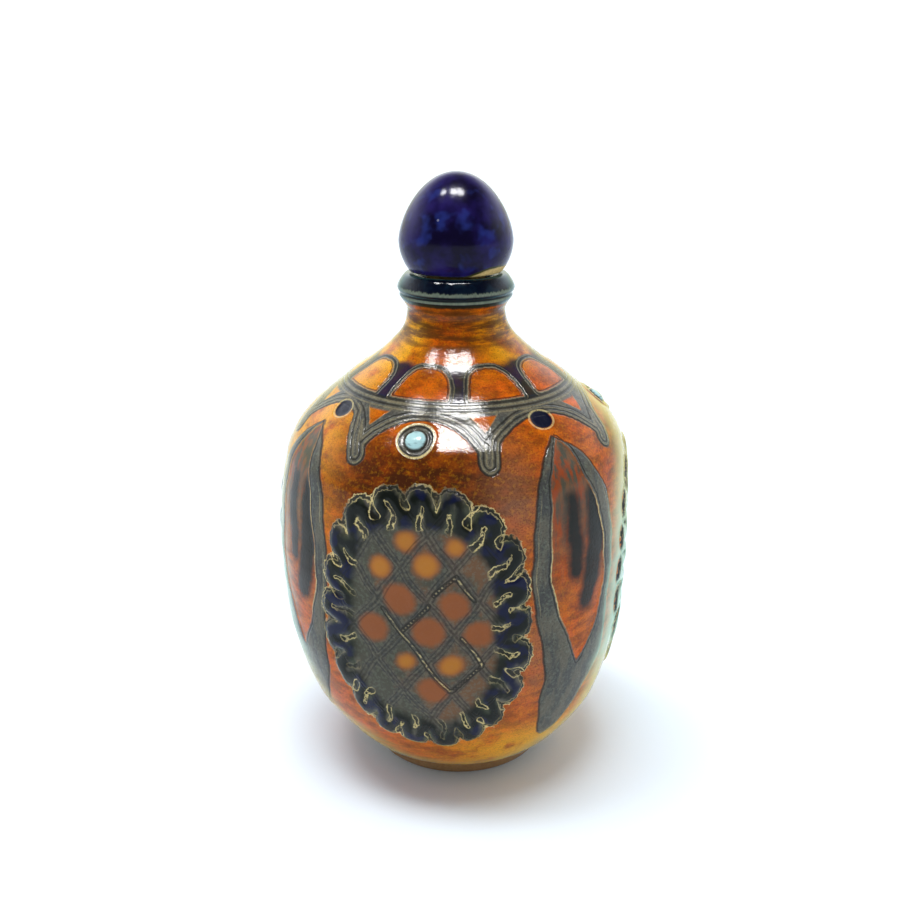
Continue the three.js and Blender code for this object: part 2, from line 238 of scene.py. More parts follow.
TABLE_HEIGHTS = np.linspace(BELLY_START, NECK_HEIGHT, 3000)
TABLE_RADII = body_radius(TABLE_HEIGHTS)
TABLE_CLIMB = np.concatenate([[0], np.cumsum(np.hypot(np.diff(TABLE_HEIGHTS), np.diff(TABLE_RADII)))])


def climb(height):
    """The distance up the outer surface from the start of the belly."""
    return np.interp(height, TABLE_HEIGHTS, TABLE_CLIMB)


def smooth(value, low, high):
    """0 below low, 1 above high, and smooth between."""
    t = np.clip((value - low) / (high - low), 0, 1)
    return t * t * (3 - 2 * t)


def wrapped(degrees):
    """The same turn, between -180 and 180 degrees."""
    return (degrees + 180) % 360 - 180


def azimuth_of(step):
    """Even steps are medallions, odd ones pods."""
    turn = 180 / MEDALLIONS * step
    return FIRST_AZIMUTH + turn - SPACING_DRIFT_DEGREES * math.sin(math.radians(turn))


# Outlines of the two pieces, from point to point in millimetres


def climbed_points(start, end, spacing):
    """Points of the body's outer outline at even distances up its surface."""
    count = round((climb(end) - climb(start)) / spacing)
    heights = np.interp(np.linspace(climb(start), climb(end), count + 1), TABLE_CLIMB, TABLE_HEIGHTS)
    return [(float(body_radius(h)), float(h)) for h in heights]


def flask_outline():
    """From the underside's middle round the foot, up the outside, over the lip and down the inside."""
    ring_inside = FOOT_RADIUS - FOOT_RING_WIDTH
    points = [(0, FOOT_RECESS), (8, FOOT_RECESS), (15, FOOT_RECESS), (ring_inside - 1.4, FOOT_RECESS - 0.1)]
    points += [(ring_inside - 0.8, FOOT_RECESS - 0.7), (ring_inside - 0.2, 0.7), (ring_inside + 0.5, 0)]
    points += [(FOOT_RADIUS - 2.4, 0), (FOOT_RADIUS - 0.5, 0)]
    points += [(FOOT_RADIUS - 0.05, 0.4), (FOOT_RADIUS + 0.3, 1.4)]
    points += [(FOOT_TOP_RADIUS - 0.1, 2.4), (FOOT_TOP_RADIUS - 0.1, FOOT_HEIGHT - 0.2)]
    points += [(FOOT_TOP_RADIUS - FOOT_GROOVE_DEPTH, FOOT_HEIGHT + FOOT_GROOVE_HEIGHT / 3)]
    points += [(FOOT_TOP_RADIUS + 0.1, BELLY_START - 0.45)]
    points += climbed_points(BELLY_START, 15, 1.4)[:-1]
    points += climbed_points(15, 121, 0.78)[:-1]
    points += climbed_points(121, NECK_HEIGHT, 1.2)
    for rise, reach in FLARE_SHAPE:
        radius = NECK_RADIUS + (NECK_RIDGE_RADIUS - NECK_RADIUS) * reach
        points.append((radius, FLARE_START + (RIDGE_HEIGHT - FLARE_START) * rise))
    points += [(NECK_RIDGE_RADIUS - 0.08, RIDGE_HEIGHT + 0.45)]
    points += [(NECK_RIDGE_RADIUS - LIP_GROOVE_DEPTH, GROOVE_HEIGHT)]
    for rise, reach in LIP_SHAPE:
        radius = LIP_CREST_RADIUS + (LIP_RADIUS - LIP_CREST_RADIUS) * reach
        points.append((radius, BEAD_START + LIP_BEAD_HEIGHT * rise))
    points += [(LIP_CREST_RADIUS - 1.2, LIP_HEIGHT - 0.05), (BORE_RADIUS + 2.2, LIP_HEIGHT - 0.2)]
    points += [(BORE_RADIUS + 1, LIP_HEIGHT - 0.7), (BORE_RADIUS + 0.3, LIP_HEIGHT - 1.6)]
    points += [(BORE_RADIUS, LIP_HEIGHT - 3), (BORE_RADIUS, 131), (BORE_RADIUS, 123.5)]
    inside = []
    for height in INSIDE_HEIGHTS:
        slope = float(body_radius(height + 0.25) - body_radius(height - 0.25)) / 0.5
        stretch = math.hypot(1, slope)
        inside.append((float(body_radius(height)) - WALL / stretch, height + WALL * slope / stretch))
    floor_top = FOOT_RECESS + FLOOR
    return points + inside + [(17.4, floor_top + 0.4), (9, floor_top + 0.1), (0, floor_top)]


def stopper_outline():
    """From the plug's end up to the seat, and over the egg to its top."""
    seat = LIP_HEIGHT + SEAT_GAP
    widest = seat + EGG_WIDEST_ABOVE_SEAT
    plug_end = seat - PLUG_LENGTH
    end_radius = PLUG_RADIUS - PLUG_TAPER
    points = [(0, plug_end), (end_radius - 1, plug_end)]
    points += [(end_radius - 0.3, plug_end + 0.3), (end_radius, plug_end + 1)]
    points += [(PLUG_RADIUS - 0.3, seat - 6), (PLUG_RADIUS, seat - 0.9)]
    points += [(PLUG_RADIUS + 0.3, seat - 0.3), (PLUG_RADIUS + 0.9, seat)]
    points += [(SEAT_RADIUS - 0.8, seat), (SEAT_RADIUS - 0.1, seat + 0.1)]
    for share in np.linspace(0.96, 0, 14)[:-1]:
        radius = EGG_RADIUS * math.sqrt(1 - (share * EGG_WIDEST_ABOVE_SEAT / EGG_LOWER_HALF_HEIGHT) ** 2)
        points.append((radius, widest - share * EGG_WIDEST_ABOVE_SEAT))
    for turn in np.linspace(0, math.pi / 2, 34)[:-1]:
        share = math.sin(turn)
        points.append((EGG_RADIUS * math.sqrt(1 - share**EGG_POINT), widest + share * EGG_UPPER_HEIGHT))
    return points + [(0, widest + EGG_UPPER_HEIGHT)]


def turned(name, outline, columns):
    """Draws an outline point by point with extrusions and spins it round the axis."""
    bpy.ops.object.select_all(action="DESELECT")
    bpy.ops.mesh.primitive_plane_add(size=0.001, location=(0, 0, 0))
    piece = bpy.context.object
    piece.name = name
    piece.data.name = name
    outline = np.array(outline) * MM
    bpy.ops.object.mode_set(mode="EDIT")
    bpy.ops.mesh.select_all(action="SELECT")
    bpy.ops.mesh.merge(type="CENTER")
    bpy.ops.transform.translate(value=(outline[0, 0], 0, outline[0, 1]))
    for step in np.diff(outline, axis=0):
        bpy.ops.mesh.extrude_vertices_move(TRANSFORM_OT_translate={"value": (step[0], 0, step[1])})
    bpy.ops.mesh.select_all(action="SELECT")
    bpy.ops.mesh.spin(steps=columns, angle=2 * math.pi, center=(0, 0, 0), axis=(0, 0, 1))
    bpy.ops.mesh.select_all(action="SELECT")
    bpy.ops.mesh.remove_doubles(threshold=2e-6)
    bpy.ops.mesh.normals_make_consistent(inside=False)
    bpy.ops.object.mode_set(mode="OBJECT")
    bpy.ops.object.shade_smooth()
    return piece


def corners_of(piece):
    """The places of all vertices, as rows of x, y and z in metres."""
    corners = np.zeros(len(piece.data.vertices) * 3)
    piece.data.vertices.foreach_get("co", corners)
    return corners.reshape(-1, 3)


def put_corners(piece, corners):
    """Moves all vertices to new places."""
    piece.data.vertices.foreach_set("co", corners.ravel())
    piece.data.update()


def put_field(piece, name, values):
    """Stores a number at each vertex, for the glaze to read."""
    stored = piece.data.attributes.new(name, "FLOAT", "POINT")
    stored.data.foreach_set("value", values.astype(np.float32))


# Distances on the body's surface, positive inside an outline


def outline_distance(across, up, outline):
    """Signed distance in millimetres from points to a closed outline of (across, up) corners."""
    nearest = np.full(across.shape, 1e9)
    inside = np.zeros(across.shape, bool)
    for (x0, y0), (x1, y1) in zip(outline, np.roll(outline, -1, axis=0)):
        dx, dy = x1 - x0, y1 - y0
        share = np.clip(((across - x0) * dx + (up - y0) * dy) / (dx * dx + dy * dy + 1e-12), 0, 1)
        nearest = np.minimum(nearest, np.hypot(across - x0 - share * dx, up - y0 - share * dy))
        if dy != 0:
            inside ^= ((y0 > up) != (y1 > up)) & (across < x0 + (up - y0) * dx / dy)
    return np.where(inside, nearest, -nearest)


def path_distance(across, up, path):
    """Distance in millimetres from points to an open path."""
    nearest = np.full(across.shape, 1e9)
    for (x0, y0), (x1, y1) in zip(path[:-1], path[1:]):
        dx, dy = x1 - x0, y1 - y0
        share = np.clip(((across - x0) * dx + (up - y0) * dy) / (dx * dx + dy * dy), 0, 1)
        nearest = np.minimum(nearest, np.hypot(across - x0 - share * dx, up - y0 - share * dy))
    return nearest


def leaf(bottom, top, half_degrees, shape, swing, sway):
    """The outline of a pointed leaf on the body, as (across, up) corners about its own azimuth."""
    share = (1 - np.cos(np.linspace(0, np.pi, 41))) / 2
    height = bottom + (top - bottom) * share
    middle = sway * along(swing, share)
    half = half_degrees * along(shape, share)
    radius = body_radius(height)
    right = np.column_stack([np.radians(middle + half) * radius, climb(height)])
    left = np.column_stack([np.radians(middle - half) * radius, climb(height)])
    return np.concatenate([right, left[::-1][1:-1]])


def on_body(degrees, height):
    """Places on the body as (across, up) corners in millimetres."""
    return np.column_stack([np.radians(degrees) * body_radius(height), climb(height)])


def nearest_medallion(azimuth):
    """How many degrees each vertex is from the middle of the nearest medallion."""
    nearest = np.full(azimuth.shape, 1e9)
    for k in range(MEDALLIONS):
        degrees = wrapped(azimuth - azimuth_of(2 * k))
        nearest = np.where(np.abs(degrees) < np.abs(nearest), degrees, nearest)
    return nearest


def ruffle_fields(medallion, height):
    """How far inwards from the ruffle's envelope each vertex is, and its folds, slots and pinches."""
    field = {}
    x = medallion / MEDALLION_HALF_DEGREES
    y = (height - MEDALLION_HEIGHT) / MEDALLION_HALF_HEIGHT
    half_across = math.radians(MEDALLION_HALF_DEGREES) * float(body_radius(MEDALLION_HEIGHT))
    evening = (MEDALLION_HALF_HEIGHT - half_across) / (MEDALLION_HALF_HEIGHT + half_across) / 2
    angle = np.arctan2(x, y)
    reach = np.hypot(half_across * np.sin(angle), MEDALLION_HALF_HEIGHT * np.cos(angle))
    size = np.abs(np.sin(angle)) ** MEDALLION_FULLNESS + np.abs(np.cos(angle)) ** MEDALLION_FULLNESS
    inward = (size ** (-1 / MEDALLION_FULLNESS) - np.hypot(x, y)) * reach + 0.3 * np.sin(7 * angle)
    inward = inward + 0.9 * np.exp(-(((angle + 0.5) / 0.4) ** 2))
    inward = inward - 0.9 * np.exp(-(((angle + 2.3) / 0.5) ** 2))
    inward = inward + 0.7 * np.exp(-(((angle + 0.1) / 0.9) ** 2))
    place = (angle - evening * np.sin(2 * angle)) * RUFFLE_LOBES / (2 * np.pi)
    place = place + 0.1 * np.sin(2 * angle + 0.7) + 0.06 * np.sin(5 * angle)
    part = place - np.round(place)
    pitch = (RUFFLE_PERIMETER - 2 * np.pi * np.clip(inward, -6, 14)) / RUFFLE_LOBES
    scallop = SCALLOP_DEPTH * (2 * np.abs(part)) ** 3
    slant = SCALLOP_DEPTH * 6 * (2 * np.abs(part)) ** 2 / pitch
    edge = (inward - scallop) / np.hypot(1, slant)
    bend = place + 0.07 * np.sin(0.9 * inward + 1.9 * np.round(place))
    sideways = np.abs(bend - np.round(bend)) * pitch
    reach_in = 6 + 1.2 * np.sin(2.3 * np.floor(bend))
    slot = np.hypot(pitch / 2 - sideways, np.maximum(inward - reach_in, 0))
    start = 5.2 + 1.2 * np.sin(1.7 * np.round(bend))
    pin = np.hypot(sideways, np.maximum(start - inward, 0)) - 0.45 - 0.05 * np.clip(inward - start, 0, 6)
    core_line = FOLD_MIDDLE - FOLD_SWING * np.cos(2 * np.pi * part)
    core_slope = FOLD_SWING * 2 * np.pi * np.sin(2 * np.pi * np.abs(part)) / pitch
    core = np.abs(inward - core_line) / np.hypot(1, core_slope)
    field["inward"] = np.clip(inward, -12, 40)
    field["edge"] = np.clip(edge, -6, 6)
    field["slot"] = np.clip(slot, 0, 6)
    field["pin"] = np.clip(np.maximum(pin, inward - RUFFLE_WIDTH + 0.4), -3, 6)
    field["core"] = np.clip(core, 0, FAR)
    return field


def oval_fields(medallion, height, radius, up):
    """The dots, the three cream paths and the trellis inside the ruffle."""
    field = {"dot": np.full(up.shape, FAR), "ochre": np.zeros(up.shape), "trace": np.full(up.shape, FAR)}
    for degrees, rise, size in DOTS:
        across = np.radians(medallion - degrees) * radius
        away = np.hypot(across, up - climb(MEDALLION_HEIGHT + rise)) - size
        field["dot"] = np.minimum(field["dot"], away)
        if size < OCHRE_DOT_RADIUS:
            field["ochre"] = np.maximum(field["ochre"], smooth(-away, -0.5, 2))
    inside = np.abs(medallion) < MEDALLION_HALF_DEGREES
    across = np.radians(medallion[inside]) * radius[inside]
    for trace in TRACES:
        turns, rises = np.array(trace, float).T
        away = path_distance(across, up[inside], on_body(turns, MEDALLION_HEIGHT + rises))
        field["trace"][inside] = np.minimum(field["trace"][inside], away)
    field["trellis_right"] = (medallion - TRELLIS_OFFSET_DEGREES) / DIAMOND_DEGREES
    field["trellis_up"] = (height - MEDALLION_HEIGHT) / DIAMOND_HEIGHT
    return field


def pod_fields(azimuth, height, radius, up):
    """The pods with their hearts and dark flames."""
    field = {name: np.full(up.shape, -FAR) for name in ("pod", "heart", "streaks")}
    for k, sway in enumerate(POD_SWAYS):
        degrees = wrapped(azimuth - azimuth_of(2 * k + 1))
        near = (np.abs(degrees) < 32) & (height < 112)
        across = np.radians(degrees[near]) * radius[near]
        outer = leaf(POD_BOTTOM, POD_TOP, POD_HALF_DEGREES, POD_SHAPE, POD_SWAY_DEGREES, sway)
        inner = leaf(
            HEART_BOTTOM, HEART_TOP, HEART_HALF_DEGREES, HEART_SHAPE, HEART_SWAY_DEGREES, sway
        )
        field["pod"][near] = np.maximum(outline_distance(across, up[near], outer), -FAR)
        field["heart"][near] = np.maximum(outline_distance(across, up[near], inner), -FAR)
        taper = FLAME_TAPER * np.abs(height[near] - FLAME_WIDEST_HEIGHT)
        for half, path in FLAMES:
            turns, heights = np.array(path, float).T
            away = path_distance(across, up[near], on_body(turns, heights))
            field["streaks"][near] = np.maximum(field["streaks"][near], half - taper - away)
    return field


def festoon_fields(azimuth, height, radius, up):
    """The festoon: above the scalloped line through its tips, but for a gap over each tip."""
    sag = np.full(up.shape, FAR)
    gap = np.full(up.shape, -FAR)
    tip = np.full(up.shape, -FAR)
    above = height > FESTOON_TIP
    ends = FESTOON_TIPS_DEGREES[1:] + (FESTOON_TIPS_DEGREES[0] + 360,)
    for start, end, slant in zip(FESTOON_TIPS_DEGREES, ends, FESTOON_SLANTS_DEGREES):
        half = (end - start) / 2
        degrees = wrapped(azimuth - start - half)
        t = np.sin(np.linspace(-np.pi / 2, np.pi / 2, 41))
        rise = np.sqrt(1 - np.abs(t) ** FESTOON_POWER)
        near = (np.abs(degrees) < half + 8) & (height > 86) & (height < 116)
        path = on_body(half * t, FESTOON_TIP + (FESTOON_TOP - FESTOON_TIP) * rise)
        across = np.radians(degrees[near]) * radius[near]
        sag[near] = np.minimum(sag[near], path_distance(across, up[near], path))
        line = np.sqrt(1 - np.minimum(np.abs(degrees / half), 1) ** FESTOON_POWER)
        under = np.abs(degrees) <= half
        above &= ~(under & (height < FESTOON_TIP + (FESTOON_TOP - FESTOON_TIP) * line))
        degrees = wrapped(azimuth - start)
        near = (np.abs(degrees) < 20) & (height > 96) & (height < 118)
        corner = FESTOON_GAP_HALF_DEGREES
        heights = np.array([FESTOON_GAP_TOP, FESTOON_GAP_TOP, FESTOON_GAP_BOTTOM])
        triangle = on_body(np.array([-corner, corner, 0.0]), heights)
        across = np.radians(degrees[near]) * radius[near]
        gap[near] = np.maximum(gap[near], outline_distance(across, up[near], triangle))
        spine = on_body(np.array([slant, 0.0]), np.array([107.5, FESTOON_TIP + 1.6]))
        tip[near] = np.maximum(tip[near], FESTOON_TIP_RADIUS - path_distance(across, up[near], spine))
    return {"festoon": np.maximum(np.where(above, sag, -sag), tip), "gap": np.maximum(gap, -FAR)}


def collar_fields(azimuth, height, radius, up):
    """The collar's arches."""
    arch = np.full(up.shape, -FAR)
    for k in range(COLLAR_ARCHES):
        degrees = wrapped(azimuth - COLLAR_FIRST_AZIMUTH - 360 / COLLAR_ARCHES * k)
        t = np.sin(np.linspace(-np.pi / 2, np.pi / 2, 33))
        rise = (1 - np.abs(t) ** COLLAR_POWER) ** (1 / COLLAR_POWER)
        near = (np.abs(degrees) < 26) & (height > 104) & (height < 125)
        path = on_body(COLLAR_HALF_DEGREES * t, COLLAR_BASE + COLLAR_RISE * rise)
        across = np.radians(degrees[near]) * radius[near]
        arch[near] = np.maximum(arch[near], outline_distance(across, up[near], path))
    return {"arch": arch}


def boss_fields(azimuth, height, radius, up):
    """Distances from the bosses over the medallions and from the studs over the pods."""
    field = {name: np.full(up.shape, FAR_FROM_BOSS) for name in ("boss", "stud")}
    for k in range(MEDALLIONS):
        degrees = wrapped(azimuth - azimuth_of(2 * k) - BOSS_OFFSET_DEGREES)
        away = np.hypot(np.radians(degrees) * radius, up - climb(BOSS_HEIGHT))
        field["boss"] = np.minimum(field["boss"], away)
        degrees = wrapped(azimuth - azimuth_of(2 * k + 1) - STUD_OFFSETS_DEGREES[k])
        away = np.hypot(np.radians(degrees) * radius / STUD_STRETCH, up - climb(STUD_HEIGHT))
        field["stud"] = np.minimum(field["stud"], away)
    return field


def kiln_tones(azimuth, height, medallion):
    """Dark over each medallion's head, golden low down, on the left shoulder and on the neck."""
    head = np.exp(-(((height - 95) / 9) ** 4)) * np.exp(-((medallion / 36) ** 4))
    low = smooth(30 - height, 0, 14) * smooth(azimuth, -25, 30) * (1 - smooth(azimuth, 120, 175))
    left = (1 - smooth(np.abs(wrapped(azimuth + 75)), 15, 45)) * smooth(height, 60, 95)
    neck = smooth(height, 114, 121) * smooth(np.abs(wrapped(azimuth + 5)), 12, 50)
    gold = np.clip(low + 0.8 * left + 0.9 * neck, 0, 1)
    blush = np.exp(-(((azimuth - 17) / 10) ** 2) - ((height - 91) / 13) ** 2)
    blush = blush + np.exp(-(((azimuth - 25) / 6) ** 2) - ((height - 50) / 16) ** 2)
    return {"maroon": np.clip(head, 0, 1), "gold": gold, "blush": blush}


def ornament(azimuth, height):
    """The fields of the whole ornament at each vertex of the body's outside."""
    radius = body_radius(height)
    up = climb(height)

    # Placed as seen from the camera, with lines that waver as a hand's do
    in_front = smooth(np.cos(np.radians(azimuth)), -0.2, 0.4)
    azimuth = azimuth + np.degrees(along(LEAN, height) / radius) * in_front
    azimuth = azimuth + 0.5 * np.sin(0.19 * up + 0.05 * azimuth) + 0.25 * np.sin(0.52 * up + 2)
    medallion = nearest_medallion(azimuth)
    field = ruffle_fields(medallion, height)
    field.update(oval_fields(medallion, height, radius, up))
    for motif in (pod_fields, festoon_fields, collar_fields, boss_fields):
        field.update(motif(azimuth, height, radius, up))
    field.update(kiln_tones(azimuth, height, medallion))
    return field


def relief(field, azimuth, height):
    """How far the surface stands out from the turned form, in millimetres."""
    lift = 0.02 * np.sin(0.9 * climb(height) + 0.02 * azimuth) + 0.03 * np.sin(0.31 * climb(height))
    body = smooth(field["edge"], -0.1, 1.1)
    body = body * (1 - smooth(field["inward"], RUFFLE_WIDTH - 2.2, RUFFLE_WIDTH + 0.3))
    fold = 0.45 + 0.55 * np.exp(-((field["core"] / 2.4) ** 2))
    lift = lift + RUFFLE_LIFT * body * fold - 0.2 * body * smooth(-field["pin"], -0.6, 0.3)
    lift = lift - 0.4 * body * (1 - smooth(field["slot"], 0.2, 1.1))
    dome = np.sqrt(np.clip(1 - (field["boss"] / BOSS_RADIUS) ** 2, 0, 1))
    ring = np.exp(-(((field["boss"] - BOSS_RING_RADIUS) / 0.55) ** 2))
    groove = np.exp(-(((field["boss"] - BOSS_RADIUS - 0.5) / 0.5) ** 2))
    lift = lift + BOSS_LIFT * dome + BOSS_RING_LIFT * ring - BOSS_GROOVE_DEPTH * groove
    lift = lift - STUD_DEPTH * smooth(STUD_RADIUS - field["stud"], -0.4, 0.6)
    below_ring = 1 - smooth(height, 107, 109)
    lift = lift + FESTOON_LIFT * smooth(field["festoon"], -1.2, -0.4) * below_ring
    lift = lift + POD_LIFT * smooth(field["pod"], -0.3, 0.5)
    lift = lift - HEART_DEPTH * smooth(field["heart"], -0.3, 0.6)
    lift = lift + SHOULDER_SWELL * np.exp(-(((height - SHOULDER_SWELL_HEIGHT) / 3) ** 2))
    return lift * smooth(height, BELLY_START, BELLY_START + 4) * (1 - smooth(height, 121, 126))


def shifted(corners):
    """Moves every level sideways as the thrown axis wanders."""
    moved = corners.copy()
    moved[:, 0] += along(LEAN, corners[:, 2] / MM) * MM
    return moved


# The flask: turned, then carved by moving its outer vertices
flask = turned("flask_body", flask_outline(), COLUMNS)
corners = corners_of(flask)
height = corners[:, 2] / MM
radius = np.hypot(corners[:, 0], corners[:, 1]) / MM
azimuth = np.degrees(np.arctan2(corners[:, 0], -corners[:, 1]))
outside = np.abs(radius - body_radius(height)) < 0.02
outside &= (height > BELLY_START - 0.01) & (height < NECK_HEIGHT + 0.01)
fields = ornament(azimuth[outside], height[outside])
slope = (body_radius(height[outside] + 0.25) - body_radius(height[outside] - 0.25)) / 0.5
stretch = np.hypot(1, slope)
lift = relief(fields, azimuth[outside], height[outside]) * MM
turn = np.radians(azimuth[outside])
corners[outside, 0] += lift / stretch * np.sin(turn)
corners[outside, 1] -= lift / stretch * np.cos(turn)
corners[outside, 2] -= lift * slope / stretch
put_corners(flask, shifted(corners))

# What each field says off the carved body, where it isn't -FAR
elsewhere = {"inward": -12, "edge": -6, "slot": 6, "pin": 6, "core": FAR, "dot": FAR, "trace": FAR}
elsewhere.update({"boss": FAR_FROM_BOSS, "stud": FAR_FROM_BOSS})
elsewhere.update({"ochre": 0, "maroon": 0, "gold": 0, "blush": 0})
for name, values in fields.items():
    everywhere = np.full(height.shape, elsewhere.get(name, -FAR), float)
    everywhere[outside] = values
    put_field(flask, name, everywhere)
put_field(flask, "outside", outside.astype(float))
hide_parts("flask")
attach(flask, "root")

stopper = turned("stopper_knob", stopper_outline(), STOPPER_COLUMNS)
put_corners(stopper, shifted(corners_of(stopper)))
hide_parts("stopper")
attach(stopper, "root")


# Glazes


# How much paler a glaze is than it looks in this light
GLAZE_GAIN = 1.45


def rgb(red, green, blue):
    """The linear colour of a glaze that looks as a display colour of 0 to 255."""
    linear = []
    for share in (red / 255, green / 255, blue / 255):
        if share <= 0.04045:
            linear.append(GLAZE_GAIN * share / 12.92)
        else:
            linear.append(GLAZE_GAIN * ((share + 0.055) / 1.055) ** 2.4)
    return (*linear, 1)


class Glaze:
    """One material, with short words for the nodes it is built from."""

    def __init__(self, name):
        self.material = bpy.data.materials.new(name)
        self.material.use_nodes = True
        self.tree = self.material.node_tree
        self.shader = self.tree.nodes["Principled BSDF"]
        self.place = self.node("ShaderNodeTexCoord", {}).node.outputs["Object"]

    def node(self, kind, inputs, output=0, **settings):
        made = self.tree.nodes.new(kind)
        for name, value in settings.items():
            setattr(made, name, value)
        for socket, value in inputs.items():
            if isinstance(value, bpy.types.NodeSocket):
                self.tree.links.new(value, made.inputs[socket])
            else:
                made.inputs[socket].default_value = value
        return made.outputs[output]

    def math(self, operation, a, b=0.5, c=0.5):
        return self.node("ShaderNodeMath", {0: a, 1: b, 2: c}, operation=operation)

    def field(self, name):
        return self.node("ShaderNodeAttribute", {}, "Fac", attribute_name=name)

    def between(self, value, low, high):
        """0 at low and 1 at high, smooth between."""
        sockets = {"Value": value, "From Min": low, "From Max": high}
        return self.node("ShaderNodeMapRange", sockets, interpolation_type="SMOOTHSTEP")

    def line(self, value, at, half):
        """1 on a line where value is near at, 0 beyond half."""
        away = self.math("ABSOLUTE", self.math("SUBTRACT", value, at))
        return self.between(away, half, half * 0.35)

    def noise(self, size, detail=3, roughness=0.5, stretch=(1, 1, 1)):
        """Noise with grains of a size in millimetres."""
        place = self.place
        if stretch != (1, 1, 1):
            place = self.node("ShaderNodeVectorMath", {0: place, 1: stretch}, operation="MULTIPLY")
        sockets = {"Vector": place, "Scale": 1 / (size * MM), "Detail": detail, "Roughness": roughness}
        return self.node("ShaderNodeTexNoise", sockets)

    def mix(self, factor, a, b):
        return self.node("ShaderNodeMix", {0: factor, 6: a, 7: b}, 2, data_type="RGBA")

    def both(self, a, b):
        return self.math("MULTIPLY", a, b)

    def either(self, a, b):
        return self.math("MAXIMUM", a, b)

    def no(self, a):
        return self.math("SUBTRACT", 1, a)

    def bump(self, height, distance, strength=1, before=None):
        sockets = {"Height": height, "Distance": distance * MM, "Strength": strength}
        if before is not None:
            sockets["Normal"] = before
        return self.node("ShaderNodeBump", sockets)

    def finish(self, colour, normal, roughness):
        self.tree.links.new(colour, self.shader.inputs["Base Color"])
        self.tree.links.new(normal, self.shader.inputs["Normal"])
        self.tree.links.new(roughness, self.shader.inputs["Roughness"])


AMBER = rgb(166, 80, 4)
ORANGE = rgb(172, 74, 8)
DARK_AMBER = rgb(118, 54, 4)
MAROON = rgb(54, 25, 10)
GOLD = rgb(196, 136, 16)
SLIP = rgb(80, 76, 66)
SLIP_BLUE = rgb(58, 58, 56)
SLIP_TEAL = rgb(92, 98, 86)
FOLD = rgb(15, 18, 15)
FOLD_NAVY = rgb(14, 18, 42)
FOLD_GREEN = rgb(50, 54, 42)
CREAM = rgb(190, 172, 118)
DARK_LINE = rgb(24, 22, 18)
OLIVE = rgb(62, 60, 50)
BROWN = rgb(92, 66, 46)
DOT = rgb(124, 68, 34)
OCHRE = rgb(158, 98, 30)
# Painted reflection colours for glaze seen edge on, teal and golden
PAINTED_RIM_REFLECTION = rgb(140, 178, 150)
PAINTED_RIM_REFLECTION_GOLD = rgb(176, 160, 72)
BLUSH = rgb(122, 82, 60)
NECK_STREAK = rgb(70, 40, 14)
SPANDREL_GREEN = rgb(20, 28, 22)
RUST = rgb(120, 54, 26)
FLAME = rgb(14, 20, 18)
# The bosses' own blue glaze with a painted highlight on it, and darker streaks across it
BOSS_GLAZE_AND_HIGHLIGHT = rgb(146, 178, 180)
BOSS_HIGHLIGHT_STREAK = rgb(52, 66, 74)
STUD = rgb(10, 12, 30)
LIP_NAVY = rgb(4, 8, 22)
LIP_TEAL = rgb(10, 24, 36)
LIP_THIN = rgb(64, 76, 66)
LIP_THINNEST = rgb(116, 122, 104)
# Painted reflection on the lip's bead where it is seen edge on
LIP_RIM_REFLECTION = rgb(58, 98, 104)
GROOVE_BLACK = rgb(8, 12, 12)
# Painted shade for the undercut below the neck ridge
LIP_UNDERCUT_SHADE = rgb(22, 26, 18)
FOOT_BROWN = rgb(62, 36, 20)
FOOT_OCHRE = rgb(104, 80, 36)
FOOT_GOLD = rgb(140, 112, 46)
# Painted shade for the foot's left side
FOOT_PAINTED_SHADE = rgb(26, 16, 16)
CLAY = rgb(150, 116, 78)
CLAY_DARK = rgb(110, 80, 52)
COBALT_BLACK = rgb(8, 4, 28)
COBALT = rgb(26, 18, 68)
COBALT_BRIGHT = rgb(34, 46, 112)
# Painted reflection on the stopper's edges
COBALT_RIM_REFLECTION = rgb(54, 48, 84)
COBALT_DRIP = rgb(44, 44, 20)
PINHOLE = rgb(90, 90, 110)
SEAT_BUFF = rgb(196, 170, 112)
SEAT_BROWN = rgb(110, 86, 50)

g = Glaze("amber salt glaze")
grain = g.noise(0.9, 3, 0.6)
speckle = g.noise(0.45, 2, 0.7)
cloud = g.noise(7, 3, 0.55)
drift = g.noise(5, 4, 0.6, (1, 1, 2.4))
fade = g.noise(9, 1)
wander = g.math("MULTIPLY", g.math("SUBTRACT", g.noise(1.7, 2, 0.5), 0.5), 1.1)
squiggle = g.math("MULTIPLY", g.math("SUBTRACT", g.noise(1.1, 1, 0.5), 0.5), 1.8)
axes = g.node("ShaderNodeSeparateXYZ", {0: g.place}).node.outputs
level = g.math("DIVIDE", axes[2], MM)


def wavy(name, amount=1.0):
    return g.math("ADD", g.field(name), g.math("MULTIPLY", wander, amount))


# The ground
ground = g.mix(g.between(cloud, 0.4, 0.6), AMBER, ORANGE)
ground = g.mix(g.between(drift, 0.34, 0.64), DARK_AMBER, ground)
ground = g.mix(g.both(g.field("gold"), g.between(cloud, 0.3, 0.55)), ground, GOLD)
mottled = g.math("MULTIPLY_ADD", g.between(drift, 0.66, 0.4), 0.25, 0.75)
ground = g.mix(g.both(g.field("maroon"), mottled), ground, MAROON)
ground = g.mix(g.both(g.field("blush"), 0.6), ground, BLUSH)
ground = g.mix(g.both(g.between(grain, 0.5, 0.7), 0.16), ground, GOLD)
ground = g.mix(g.both(g.between(speckle, 0.5, 0.36), 0.42), ground, MAROON)

# Throwing streaks on the neck
streak = g.noise(2.2, 4, 0.65, (0.25, 0.25, 1.6))
on_neck = g.both(g.between(level, 118, 124), g.between(level, 132, 130.6))
ground = g.mix(g.both(g.both(on_neck, g.between(streak, 0.36, 0.58)), 0.85), ground, NECK_STREAK)

